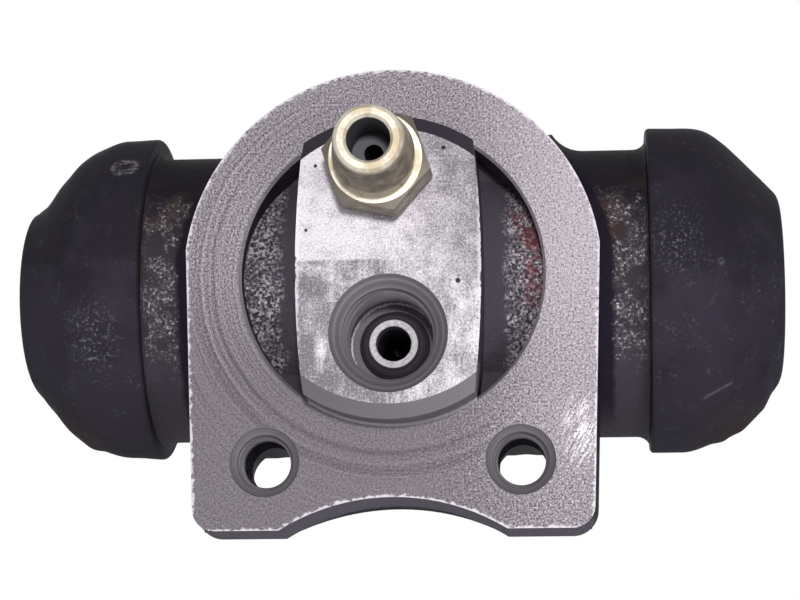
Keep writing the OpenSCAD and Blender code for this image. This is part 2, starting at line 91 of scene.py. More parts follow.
class Closure(Enum):
    """How the ends of a swept profile are shut."""

    RING = "the path closes on itself"
    CAPS = "a flat face at each end"


# Surfaces


def grid_quads(rows: int, columns: int, wrap_rows: bool) -> Array:
    """Corner numbers of the quads of a grid of points whose columns close on themselves.

    Quad (i, j) joins point (i, j) to its neighbours one row and one column on, counted modulo the grid.

    Args:
        rows: Points along the path.
        columns: Points round the profile.
        wrap_rows: True where the last row joins the first.

    Returns:
        Array of shape (quads, 4).
    """
    row, column = np.mgrid[: rows if wrap_rows else rows - 1, :columns]
    next_row, next_column = (row + 1) % rows, (column + 1) % columns
    corners = [row * columns + column, next_row * columns + column]
    corners += [next_row * columns + next_column, row * columns + next_column]
    return np.stack(corners, axis=-1).reshape(-1, 4)


def signed_volume(points: Array, quads: Array) -> float:
    """Volume in a quad surface: a sixth of its triangles' triple products, positive if they face out."""
    a, b, c, d = (points[quads[:, k]] for k in range(4))
    return float((np.cross(a, b) * c + np.cross(a, c) * d).sum() / 6)


def add_object(name: str, data: bpy.types.ID) -> bpy.types.Object:
    """Puts a new object into the scene.

    Args:
        name: Its name.
        data: Its mesh, lamp or camera.

    Returns:
        The object, at the origin.
    """
    made = bpy.data.objects.new(name, data)
    bpy.context.scene.collection.objects.link(made)
    return made


def surface_object(name: str, grid: Array, closure: Closure, sharp_deg: float) -> bpy.types.Object:
    """Makes a closed mesh object from a grid of points in millimetres.

    Args:
        name: Name of the piece.
        grid: Points of shape (rows, columns, 3); each row is one closed profile.
        closure: How the two ends of the path are shut.
        sharp_deg: Edges that bend by more than this many degrees stay sharp.

    Returns:
        The object, at the origin, with its place in its mesh and its faces outwards.
    """
    rows, columns = grid.shape[:2]
    points = grid.reshape(-1, 3)
    quads = grid_quads(rows, columns, closure is Closure.RING)
    inside_out = signed_volume(points - points.mean(axis=0), quads) < 0
    if inside_out:
        quads = quads[:, ::-1]
    faces = quads.tolist()
    if closure is Closure.CAPS:
        first, last = np.arange(columns), (rows - 1) * columns + np.arange(columns)
        caps = [first, last[::-1]] if inside_out else [first[::-1], last]
        faces += [cap.tolist() for cap in caps]
    mesh = bpy.data.meshes.new(name)
    mesh.from_pydata((points * MM).tolist(), [], faces)
    mesh.polygons.foreach_set("use_smooth", np.ones(len(faces), dtype=bool))
    mesh.set_sharp_from_angle(angle=math.radians(sharp_deg))
    mesh.validate()
    return add_object(name, mesh)


def arc(centre: tuple[float, float], radius: float, start: float, end: float, count: int) -> Array:
    """Points on a circle: centre plus radius times (cos, sin) of angles spread evenly from start to end."""
    angle = np.radians(np.linspace(start, end, count))[:, None]
    return np.array(centre) + radius * np.hstack([np.cos(angle), np.sin(angle)])


def ease(value: Array, low: float, high: float) -> Array:
    """Smooth step: 0 below low, 1 above high, and 3t^2 - 2t^3 of the share t in between."""
    share = np.clip((value - low) / (high - low), 0, 1)
    return share * share * (3 - 2 * share)


def about_x(x: Array, radius: Array, angle: Array, axis: Array) -> Array:
    """Points round a line along X: y and z are the line's, plus radius times cos and sin of the angle."""
    parts = np.broadcast_arrays(x, axis[0] + radius * np.cos(angle), axis[1] + radius * np.sin(angle))
    return np.stack(parts, axis=-1)


# Node trees


class Signal:
    """A number in a node tree; what is done with it adds further nodes."""

    def __init__(self, sheet: "NodeSheet", socket: Socket) -> None:
        """Keeps the tree and the output that gives the number."""
        self.sheet, self.socket = sheet, socket

    def __add__(self, other: "Value") -> "Signal":
        """This plus another number."""
        return self.sheet.math("ADD", self, other)

    def __sub__(self, other: "Value") -> "Signal":
        """This less another number."""
        return self.sheet.math("SUBTRACT", self, other)

    def __rsub__(self, other: "Value") -> "Signal":
        """Another number less this."""
        return self.sheet.math("SUBTRACT", other, self)

    def __mul__(self, other: "Value") -> "Signal":
        """This times another number."""
        return self.sheet.math("MULTIPLY", self, other)

    def __or__(self, other: "Value") -> "Signal":
        """The larger of this and another number."""
        return self.sheet.math("MAXIMUM", self, other)

    def __and__(self, other: "Value") -> "Signal":
        """The smaller of this and another number."""
        return self.sheet.math("MINIMUM", self, other)

    __radd__ = __add__

    def clamped(self) -> "Signal":
        """This kept from 0 to 1."""
        return self.sheet.math("ADD", self, 0.0, clamp=True)

    def swing(self, amount: "Value") -> "Signal":
        """A noise from 0 to 1 turned into a push of up to half the amount either way."""
        return (self - 0.5) * amount

    def rise(self, low: float, high: float) -> "Signal":
        """Smooth step from 0 at low to 1 at high; low above high turns it round."""
        feeds = {"Value": self, "From Min": low, "From Max": high}
        return self.sheet.number("ShaderNodeMapRange", feeds, interpolation_type="SMOOTHSTEP")

    def band(self, low: float, high: float, soft: float) -> "Signal":
        """1 between low and high, fading to 0 over soft on each side."""
        return self.rise(low - soft, low) * self.rise(high + soft, high)

    def mix(self, first: "Value", second: "Value") -> Socket:
        """Colour from the first where this is 0 to the second where it is 1."""
        return self.sheet.node("ShaderNodeMix", {0: self, 6: first, 7: second}, data_type="RGBA").outputs[2]

    def between(self, first: "Value", second: "Value") -> "Signal":
        """Number from the first where this is 0 to the second where it is 1."""
        return self.sheet.number("ShaderNodeMix", {0: self, 2: first, 3: second}, data_type="FLOAT")


Value = Signal | Socket | float | Vec | Colour


class NodeSheet:
    """The node tree of a material or a world, with short calls for the nodes that are used here."""

    def __init__(self, owner: bpy.types.Material | bpy.types.World) -> None:
        """Starts with an empty tree.

        Args:
            owner: The material or world.
        """
        owner.use_nodes = True
        self.owner, self.tree = owner, owner.node_tree
        self.tree.nodes.clear()

    def node(self, kind: str, feeds: dict[int | str, Value], **settings: object) -> bpy.types.Node:
        """Adds a node, sets its properties and feeds its inputs.

        Args:
            kind: Blender's name of the node type.
            feeds: Links or constants by the input's number or name.
            settings: Properties by name.

        Returns:
            The node.
        """
        made = self.tree.nodes.new(kind)
        for key, value in settings.items():
            setattr(made, key, value)
        for key, value in feeds.items():
            source = value.socket if isinstance(value, Signal) else value
            if isinstance(source, bpy.types.NodeSocket):
                self.tree.links.new(source, made.inputs[key])
            else:
                made.inputs[key].default_value = source
        return made

    def number(self, kind: str, feeds: dict[int | str, Value], **settings: object) -> Signal:
        """The first output of a new node, as a number."""
        return Signal(self, self.node(kind, feeds, **settings).outputs[0])

    def math(self, operation: str, *values: Value, clamp: bool = False) -> Signal:
        """One Math node of its values in order."""
        return self.number("ShaderNodeMath", dict(enumerate(values)), operation=operation, use_clamp=clamp)

    def vector(self, operation: str, *values: Value) -> Socket:
        """The vector that a Vector Math node gives for its values in order."""
        return self.node("ShaderNodeVectorMath", dict(enumerate(values)), operation=operation).outputs[0]

    def measure(self, operation: str, *values: Value) -> Signal:
        """The number that a Vector Math node gives, such as a length or a dot product."""
        made = self.node("ShaderNodeVectorMath", dict(enumerate(values)), operation=operation)
        return Signal(self, made.outputs["Value"])

    def split(self, value: Socket) -> list[Signal]:
        """The X, Y and Z of a vector."""
        return [Signal(self, axis) for axis in self.node("ShaderNodeSeparateXYZ", {0: value}).outputs]

    def join(self, *axes: Value) -> Socket:
        """A vector from its X, Y and Z; those left out are 0."""
        return self.node("ShaderNodeCombineXYZ", dict(enumerate(axes))).outputs[0]


class MaterialSheet(NodeSheet):
    """A material's nodes, with the surface point in millimetres, its coordinates and its normal."""

    def __init__(self, name: str) -> None:
        """Starts the material on Object coordinates.

        Args:
            name: Name of the material.
        """
        super().__init__(bpy.data.materials.new(name))
        place = self.node("ShaderNodeTexCoord", {}).outputs
        feeds = {0: place["Object"], "Scale": 1 / MM}
        self.point = self.node("ShaderNodeVectorMath", feeds, operation="SCALE").outputs[0]
        self.x, self.y, self.z = self.split(self.point)
        self.from_middle = self.math("ABSOLUTE", self.x)
        _, self.normal_y, self.normal_z = self.split(place["Normal"])

    def away(self, centre: Vec, across: Vec, point: Socket | None = None) -> Signal:
        """Distance of a point, or of the surface point, from a centre, with each axis times its across."""
        offset = self.vector("SUBTRACT", self.point if point is None else point, centre)
        return self.measure("LENGTH", self.vector("MULTIPLY", offset, across))

    def noise(
        self, scale: float, detail: float = 2.0, roughness: float = 0.5, point: Socket | None = None
    ) -> Signal:
        """Cloudy noise from 0 to 1.

        Args:
            scale: Lumps per millimetre.
            detail: Number of finer octaves.
            roughness: Strength of each finer octave.
            point: Place to read it at, or None for the surface point.

        Returns:
            The noise.
        """
        feeds = {"Scale": scale, "Detail": detail, "Roughness": roughness}
        feeds["Vector"] = self.point if point is None else point
        return self.number("ShaderNodeTexNoise", feeds)

    def streaks(self, detail: float, roughness: float, *axes: Value) -> Signal:
        """Noise of up to three numbers, each counted in lumps."""
        return self.noise(1.0, detail, roughness, self.join(*axes))

    def layers(self, colour: Value, *coats: tuple[Value, Signal]) -> Value:
        """Lays coats over a colour.

        Args:
            colour: Colour at the bottom.
            coats: From the bottom up, each a colour and its mask.

        Returns:
            The colour on top.
        """
        for over, mask in coats:
            colour = mask.mix(colour, over)
        return colour

    def bump(self, height: Value, depth: float, strength: float, normal: Socket | None = None) -> Socket:
        """Normal of a surface raised by a height map.

        Args:
            height: Height from 0 to 1.
            depth: Millimetres that a height of 1 stands for.
            strength: Share of the effect.
            normal: Normal to start from, or None for the mesh's own.

        Returns:
            The new normal.
        """
        feeds = {"Height": height, "Distance": depth * MM, "Strength": strength}
        if normal is not None:
            feeds["Normal"] = normal
        return self.node("ShaderNodeBump", feeds).outputs[0]

    def finish(self, **sockets: Value) -> bpy.types.Material:
        """Ends the tree in one Principled shader.

        Args:
            sockets: Values by socket name, with _ for each space.

        Returns:
            The material.
        """
        feeds = {key.replace("_", " "): value for key, value in sockets.items()}
        shader = self.node("ShaderNodeBsdfPrincipled", feeds)
        self.node("ShaderNodeOutputMaterial", {"Surface": shader.outputs[0]})
        return self.owner


# Finishes


@dataclass(frozen=True)
class CastIronFinish:
    """Dark, rough cast iron with turned and milled faces, as the housing has it."""

    part: "Housing"
    cast_black: Colour = (0.016, 0.013, 0.018, 1)
    cast_dark: Colour = (0.046, 0.040, 0.051, 1)
    cast_brown: Colour = (0.056, 0.036, 0.034, 1)
    cast_grey: Colour = (0.185, 0.168, 0.188, 1)
    cast_side: Colour = (0.145, 0.130, 0.168, 1)
    pocket_pit: Colour = (0.044, 0.037, 0.048, 1)
    pocket_dark: Colour = (0.080, 0.068, 0.090, 1)
    pocket_grey: Colour = (0.560, 0.515, 0.565, 1)
    grain_top_glint: Colour = (0.780, 0.745, 0.790, 1)
    # Painted shade, used at the flange's root and deep in the pipe port
    painted_shade_black: Colour = (0.011, 0.008, 0.020, 1)
    turned_dark: Colour = (0.105, 0.092, 0.102, 1)
    turned_light: Colour = (0.520, 0.470, 0.520, 1)
    milled_dark: Colour = (0.190, 0.170, 0.192, 1)
    milled_light: Colour = (0.640, 0.605, 0.645, 1)
    drilled: Colour = (0.250, 0.230, 0.257, 1)
    drilled_light: Colour = (0.460, 0.430, 0.466, 1)
    honed: Colour = (0.420, 0.410, 0.420, 1)
    bare_edge_and_sparkle: Colour = (0.700, 0.660, 0.705, 1)
    scraped: Colour = (0.900, 0.860, 0.910, 1)
    red_mark: Colour = (0.200, 0.035, 0.050, 1)
    pit: Colour = (0.040, 0.034, 0.044, 1)
    pits: tuple[Vec, ...] = ((5.9, 12.4, 0.22), (7.3, -1.8, 0.26), (-7.6, 10.7, 0.18), (-8.6, 3.8, 0.16))
    inner_arc: tuple[float, float] = (19.1, 19.4)
    outer_arc: tuple[float, float] = (21.0, 21.3)
    scrape_at: Vec = (19.7, 0, -17.0)
    scrape_spread: Vec = (0.40, 0, 0.19)
    streak_at: Vec = (-7.0, 0, -9.0)
    streak_spread: Vec = (0.9, 0, 0.33)

    def make(self) -> bpy.types.Material:
        """Lays the cut faces over the cast skin.

        Returns:
            The material.
        """
        sheet, part = MaterialSheet("cast_iron"), self.part
        y, pilot_r = sheet.y, part.pilot_r
        front = sheet.normal_y.rise(-0.90, -0.97)
        from_pilot = sheet.away((0, 0, 0), FROM_Y_LINE)
        broken_edge = from_pilot.band(pilot_r - 0.02, pilot_r + part.pocket_edge, 0.02)
        broken_edge = broken_edge * y.band(-0.06, part.pocket_edge + 0.05, 0.04)
        flange = front * y.band(-0.06, 0.06, 0.04) | broken_edge
        boss = front * y.rise(0.15 - part.pilot_h, 0.05 - part.pilot_h)
        pilot = from_pilot.rise(pilot_r - 2.6, pilot_r - 2.2) * y.rise(0.1, -0.1) * (1 - front)
        drilled, honed = self._drilled(sheet), self._honed(sheet)
        cut = flange | boss | drilled | honed | pilot
        speckle = sheet.noise(4.4, 2.0, 0.85)
        turning = self._turning_lines(sheet, from_pilot)
        polish_and_highlight = self._milled_tone(sheet)
        cast, height, glint = self._cast(sheet, from_pilot)
        colour = sheet.layers(
            cast,
            # Painted shade: the pilot's wall is darker on its upper part, where less light falls
            (sheet.z.rise(-2.0, 6.0).mix(self.drilled, self.pocket_dark), pilot),
            (self._turned_colour(sheet, from_pilot, speckle, turning), flange),
            (self._milled_colour(sheet, polish_and_highlight, speckle), boss),
            (self._drilled_colour(sheet), drilled),
            (self.honed, honed),
        )
        worked = boss.between(speckle.between(0.72, 0.54), polish_and_highlight.between(0.62, 0.55))
        fine = speckle * 0.75 + turning * 0.25
        shape = sheet.bump(height * (1 - cut), 0.50, 0.9)
        return sheet.finish(
            Base_Color=colour,
            Metallic=cut.between(glint, 0.90),
            Roughness=cut.between(glint.between(0.70, 0.40), worked),
            Specular_IOR_Level=0.08,
            Normal=sheet.bump(fine * cut, 0.045, 0.8, shape),
        )

    def _drilled(self, sheet: MaterialSheet) -> Signal:
        """Finds the bolt holes and the pipe port, with their countersinks.

        Args:
            sheet: The material's nodes.

        Returns:
            Their mask.
        """
        part = self.part
        mirrored = sheet.join(sheet.from_middle, sheet.y, sheet.z)
        bolt = sheet.away((part.bolt_x, 0, part.bolt_z), FROM_Y_LINE, mirrored)
        port = sheet.away((0, 0, part.port_z), FROM_Y_LINE)
        bolt_r, port_r = part.bolt_r + part.bolt_csk, part.port_r + part.port_csk
        floor_y = part.port_l - part.pilot_h
        in_port = port.rise(port_r + 0.02, port_r - 0.03) * sheet.y.rise(floor_y + 0.3, floor_y)
        return bolt.rise(bolt_r + 0.02, bolt_r - 0.03) | in_port

    def _drilled_colour(self, sheet: MaterialSheet) -> Socket:
        """Colours drilled walls: rings along the hole, a bright pipe seat and a bright ring round it, with painted
        shade deep in the port and on its floor.

        Args:
            sheet: The material's nodes.

        Returns:
            The colour.
        """
        y = sheet.y
        rings = sheet.streaks(3.0, 0.6, 0.0, y * 3.0)
        port = sheet.away((0, 0, self.part.port_z), FROM_Y_LINE)
        specks = sheet.noise(2.4, 3.0, 0.7)
        ragged = port + specks.swing(0.5)
        seat = ragged.band(2.05, 2.5, 0.15) * specks.rise(0.4, 0.65).between(0.35, 0.85)
        bright = seat | ragged.band(4.62, 4.72, 0.1) * 0.7
        return sheet.layers(
            rings.rise(0.42, 0.72).mix(self.drilled, self.drilled_light),
            # Painted shade: the port's deep walls are nearly black and its floor is darkened
            (self.painted_shade_black, y.rise(2.5, 4.5) * port.rise(6.0, 7.0)),
            (self.pocket_dark, port.band(2.6, 5.5, 0.08) * y.rise(3.2, 4.2) * 0.60),
            (self.bare_edge_and_sparkle, bright * y.rise(1.8, 2.2)),
        )

    def _honed(self, sheet: MaterialSheet) -> Signal:
        """Finds the bore and the turned barrel ends under the boots.

        Args:
            sheet: The material's nodes.

        Returns:
            Their mask.
        """
        part = self.part
        from_axis = sheet.away((0, part.axis_y, part.axis_z), FROM_X_LINE)
        at_end = sheet.from_middle.rise(part.rim_x + 0.3, part.rim_x + 0.4)
        return from_axis.rise(part.bore_r + 0.3, part.bore_r + 0.1) | at_end

    def _turning_lines(self, sheet: MaterialSheet, from_pilot: Signal) -> Signal:
        """Rings left by the facing tool: noise of the radius alone, a little wavy, from 0 to 1."""
        ring = from_pilot + sheet.noise(0.25, 1.0) * 0.5
        return sheet.streaks(4.0, 0.8, ring * 2.8)

    def _cast(self, sheet: MaterialSheet, from_pilot: Signal) -> tuple[Socket, Signal, Signal]:
        """Works out the sand-cast skin, with the two pockets beside the boss, and the light and shade painted on
        it.

        Args:
            sheet: The material's nodes.
            from_pilot: Distance from the pilot axis.

        Returns:
            Its colour, its height from 0 to 1 and the share of grain tops painted as glints, where they are also
            metallic.
        """
        part, y, z, facing = self.part, sheet.y, sheet.z, sheet.normal_y
        grain = sheet.noise(2.9, 3.0, 0.74)
        height = sheet.noise(0.9, 3.0, 0.6) * 0.45 + grain * 0.55
        tint = sheet.noise(0.22, 3.0).rise(0.40, 0.62) * z.band(3.0, 8.0, 5.0)
        outside = sheet.from_middle.rise(part.side_half - 2.0, part.side_half)
        # Painted shade: the web behind the flange, under the barrel, is painted darkest
        web = y.rise(7.0, 8.0) * z.rise(-9.0, -11.0) * (1 - outside)
        # Painted light: the foot's downward faces are lighter, where light from below falls
        foot = y.rise(7.3, 6.9) * z.rise(-18.0, -20.0) * sheet.normal_z.rise(-0.3, -0.7)
        # Painted shade: a dark strip on the barrel along the flange's edges, where the plate's shade falls
        side, overhang = sheet.from_middle - part.side_half, from_pilot - part.flange_r
        ragged = z.rise(0.0, 3.0).between(side, overhang) + sheet.noise(0.8, 2.0) * 0.8
        under_plate = ragged.band(-0.1, 1.5, 0.7) * y.rise(0.05, 0.3) * y.rise(16.0, 8.0) * (1 - foot)
        ahead = y.rise(-4.6, -4.4) * y.rise(12.0, 10.0)
        pocket = from_pilot.rise(part.pilot_r + 0.3, part.pilot_r) * ahead
        # Painted shade: beside the boss the pocket is smooth, darker and without lit grains, as in the boss's
        # shadow
        by_boss = sheet.from_middle - part.boss_half + sheet.noise(0.7, 3.0).swing(3.0)
        beside_boss = pocket * by_boss.rise(3.3, 1.8)
        patches = sheet.noise(0.6, 2.0).rise(0.36, 0.60)
        patches = pocket.between(patches, patches.between(0.55, 1.15))
        # Painted light: grains facing the front, in a band round the middle and in the pockets, are lighter, and
        # their tops are painted as glints
        lit = grain.rise(0.41, 0.66) * patches * facing.rise(-0.45, -0.88)
        lit = lit * (z.band(-6.0, 6.0, 5.0) | pocket) * (1 - (under_plate | beside_boss))
        glint = lit * grain.rise(0.57, 0.68)
        near_ring = from_pilot.band(part.pilot_r - 1.5, part.pilot_r + 0.1, 0.7)
        red = near_ring * z.band(-2.6, 6.6, 1.2) * sheet.x.rise(8.0, 9.0) * ahead
        red = red * sheet.noise(1.4, 3.0).rise(0.40, 0.54)
        colour = sheet.layers(
            # Painted shade: the casting is darker above z = 3 to 11, where less light falls
            z.rise(11.0, 3.0).mix(self.cast_black, self.cast_dark),
            (self.cast_brown, tint),
            # Painted light: the barrels' lower outer parts are lighter, where light from below falls
            (self.pocket_dark, z.rise(-5.0, -10.0) * outside * 0.6),
            # painted shade on the web behind the flange
            (self.cast_black, web),
            (self.cast_grey, height.rise(0.46, 0.66) * facing.rise(-0.4, 0.1) * 0.6),
            # painted light on the foot's downward faces
            (self.cast_side, foot),
            # painted shade beside the boss
            (beside_boss.mix(self.pocket_pit, self.pocket_dark), pocket),
            # painted light on the grains
            (pocket.mix(self.cast_grey, self.pocket_grey), lit),
            # painted shade along the flange's root
            (self.painted_shade_black, under_plate * 0.85),
            (self.red_mark, red * 0.60),
            # painted glints on the grain tops
            (self.grain_top_glint, glint),
        )
        return colour, height, glint

    def _to_edge(self, sheet: MaterialSheet, from_pilot: Signal) -> Signal:
        """Measures the way to the nearest outer edge of the flange: side, foot, arch or round top.

        Args:
            sheet: The material's nodes.
            from_pilot: Distance from the pilot axis.

        Returns:
            The distance in millimetres.
        """
        part, z = self.part, sheet.z
        to_side = part.side_half + z * part.side_lean - sheet.from_middle
        arch_z = part.foot_z + part.arch_rise - part.arch_r
        to_arch = sheet.away((0, 0, arch_z), FROM_Y_LINE) - part.arch_r
        to_top = (part.flange_r - from_pilot) | (z * -1.0)
        return to_side & (z - part.foot_z) & to_arch & to_top

    def _turned_colour(
        self, sheet: MaterialSheet, from_pilot: Signal, speckle: Signal, turning: Signal
    ) -> Socket:
        """Colours the faced flange: grey specks, turning rings, bright ragged edges, one scraped place, and
        painted light and sparkle on its right and upper parts.

        Args:
            sheet: The material's nodes.
            from_pilot: Distance from the pilot axis.
            speckle: Fine noise.
            turning: Rings of the facing tool.

        Returns:
            The colour.
        """
        x, z = sheet.x, sheet.z
        upper = z.rise(-12.0, 4.0)
        # Painted light: gain, right and upper make the flange's right and upper parts lighter and their speckle
        # stronger, as the light falls there
        gain = (x.rise(2.0, 14.0) | upper) * 2.4 + 1.0
        ringed = x.rise(-4.0, -16.0) * z.rise(-16.0, -8.0) * 1.6 + 0.60
        right = x.rise(6.0, 20.0) * z.rise(-27.0, -15.0).between(0.55, 1.0)
        grey = speckle.swing(gain) + 0.22 + turning.swing(ringed) + right * 0.34 + upper * 0.20
        arcs = from_pilot.band(*self.inner_arc, 0.5) | from_pilot.band(*self.outer_arc, 0.5)
        grey = (grey - arcs * (x + z).rise(2.0, -12.0) * 0.10).clamped()
        # Painted sparkle: bright specks, mostly on the lit right and upper parts
        sparks = sheet.noise(3.0, 3.0, 0.80).rise(0.57, 0.68) * (x.rise(-6.0, 16.0) | upper * 0.6)
        ragged = self._to_edge(sheet, from_pilot) + sheet.noise(1.8, 3.0).swing(1.3)
        along, across = x * 0.5 + z * 0.87, x * 0.87 - z * 0.5
        streaks = sheet.streaks(3.0, 0.75, across * 3.2, along * 0.28)
        scrape = sheet.away(self.scrape_at, self.scrape_spread).rise(1.0, 0.2)
        return sheet.layers(
            grey.mix(self.turned_dark, self.turned_light),
            (self.bare_edge_and_sparkle, sparks * 0.9),
            (self.bare_edge_and_sparkle, ragged.rise(0.30, 0.06) * 0.85),
            (self.bare_edge_and_sparkle, (from_pilot - self.part.pilot_r).rise(0.36, 0.24) * 0.45),
            (self.scraped, scrape * streaks.rise(0.45, 0.60) * speckle.rise(0.36, 0.50)),
        )

    def _milled_tone(self, sheet: MaterialSheet) -> Signal:
        """Works out the boss face's tone, which also sets its roughness: a painted highlight, high at the upper
        left and low at the upper right, and scratches below, painted lighter to the right.

        Args:
            sheet: The material's nodes.

        Returns:
            The tone from 0 to 1, partly painted highlight.
        """
        x, z = sheet.x, sheet.z
        scratch = sheet.streaks(3.0, 0.7, x * 1.6, 0.0, z * 0.30)
        cloud = sheet.noise(0.45, 5.0, 0.75)
        # Painted highlight: the upper half is lighter to the upper left and the lower half lighter to the right,
        # as light falls on the face
        upper = (x + z * 0.35).rise(13.0, -3.0).between(0.25, 0.95) + cloud.swing(1.8)
        lower = (scratch.rise(0.40, 0.70) * 0.60 + x.rise(-9.0, 9.0)) * 0.52 + cloud.swing(2.2)
        streak = sheet.away(self.streak_at, self.streak_spread).rise(1.0, 0.0)
        below_step = z.rise(-6.0, -0.5) * x.rise(-1.0, -5.0)
        lower = lower + streak * 0.8 + below_step * 0.3
        step = x.rise(-4.0, 2.0).between(z.rise(0.45, 0.75), z.rise(-4.0, 4.0))
        return step.between(lower, upper).clamped()

    def _milled_colour(self, sheet: MaterialSheet, polish_and_highlight: Signal, speckle: Signal) -> Socket:
        """Colours the milled boss face, with worn edges and a few pits.

        Args:
            sheet: The material's nodes.
            polish_and_highlight: Tone from 0 to 1, partly painted highlight.
            speckle: Fine noise.

        Returns:
            The colour.
        """
        x, z = sheet.x, sheet.z
        tone = (polish_and_highlight * 0.9 + speckle.swing(2.6)).clamped()
        slanted, crossing = x + z * 0.6, x - z * 0.8
        marks = sheet.streaks(4.0, 0.75, slanted * 0.35, 0.0, z * 2.2)
        nicks = sheet.streaks(4.0, 0.75, crossing * 1.9, 0.0, slanted * 0.3)
        ragged = self.part.boss_half - sheet.from_middle + sheet.noise(1.6, 2.0).swing(0.9)
        holes = [(sheet.away((pit_x, 0, pit_z), FROM_Y_LINE), pit_r) for pit_x, pit_z, pit_r in self.pits]
        return sheet.layers(
            tone.mix(self.milled_dark, self.milled_light),
            (self.milled_dark, marks.rise(0.57, 0.72) * 0.7),
            (self.drilled, nicks.rise(0.62, 0.72) * 0.6),
            (self.bare_edge_and_sparkle, ragged.rise(0.5, 0.2) * 0.6),
            (self.pit, ragged.rise(0.06, -0.02) * 0.85),
            (self.pit, sheet.noise(2.2, 3.0, 0.75).rise(0.68, 0.75)),
            *((self.pit, hole.rise(pit_r + 0.08, pit_r - 0.06)) for hole, pit_r in holes),
        )


@dataclass(frozen=True)
class BootRubberFinish:
    """Matt black rubber with dust, a scuffed ring and a scratch on its front."""

    name: str
    axis_y: float
    scuff_at: Vec
    scuff_r: float
    dust_at: Vec
    dust_half: Vec
    scratch_from: Vec
    scratch_to: Vec
    rubber: Colour = (0.032, 0.027, 0.041, 1)
    shade: Colour = (0.019, 0.016, 0.024, 1)
    bloom: Colour = (0.150, 0.141, 0.160, 1)
    brown: Colour = (0.044, 0.026, 0.024, 1)

    def make(self) -> bpy.types.Material:
        """Lays the marks over the rubber.

        Returns:
            The material.
        """
        sheet = MaterialSheet(self.name)
        z = sheet.z
        cloud = sheet.noise(0.16, 4.0, 0.6)
        lit = cloud + (z.rise(14.0, -14.0) - 0.4) * 0.4
        # Painted reflection: a brown rim light along the bottom of the boot's outer half
        below = z.rise(-11.0, -17.0) * sheet.from_middle.rise(31.0, 37.0)
        in_front = sheet.y.rise(self.axis_y, self.axis_y - 3.0)
        specks = sheet.noise(2.6, 3.0, 0.75).rise(0.52, 0.68)
        inside = tuple(1 / half if half else 0.0 for half in self.dust_half)
        dusty = sheet.away(self.dust_at, inside).rise(1.1, 0.2)
        everywhere = sheet.noise(0.35, 4.0, 0.65).rise(0.50, 0.68) * 0.45
        dust = specks * (dusty * in_front * 0.9 | everywhere)
        ring = sheet.away(self.scuff_at, FROM_POINT) - self.scuff_r
        scuff = ring.band(-0.30, 0.30, 0.35) * sheet.noise(2.0, 3.0, 0.7).rise(0.40, 0.60)
        scratch = self._scratch(sheet) * in_front * specks.rise(-0.3, 0.5)
        colour = sheet.layers(
            lit.rise(0.36, 0.72).mix(self.shade, self.rubber),
            # painted reflection along the bottom
            (self.brown, below * 0.7),
            (self.bloom, dust | scuff | scratch),
        )
        return sheet.finish(
            Base_Color=colour,
            Roughness=cloud.between(0.82, 0.66),
            Specular_IOR_Level=0.10,
            Normal=sheet.bump(sheet.noise(1.1, 4.0, 0.6), 0.05, 0.6),
        )

    def _scratch(self, sheet: MaterialSheet) -> Signal:
        """Finds a thin straight scratch seen from the front: near its line, and between its ends.

        Args:
            sheet: The material's nodes.

        Returns:
            Its mask.
        """
        run = np.subtract(self.scratch_to, self.scratch_from)
        length = float(np.linalg.norm(run))
        along = tuple((run / length).tolist())
        flat = sheet.vector("SUBTRACT", sheet.point, self.scratch_from)
        flat = sheet.vector("MULTIPLY", flat, FROM_Y_LINE)
        sideways = sheet.measure("LENGTH", sheet.vector("CROSS_PRODUCT", flat, along))
        on_line = sheet.measure("DOT_PRODUCT", flat, along).band(0.2, length - 0.2, 0.8)
        return sideways.rise(0.20, 0.04) * on_line


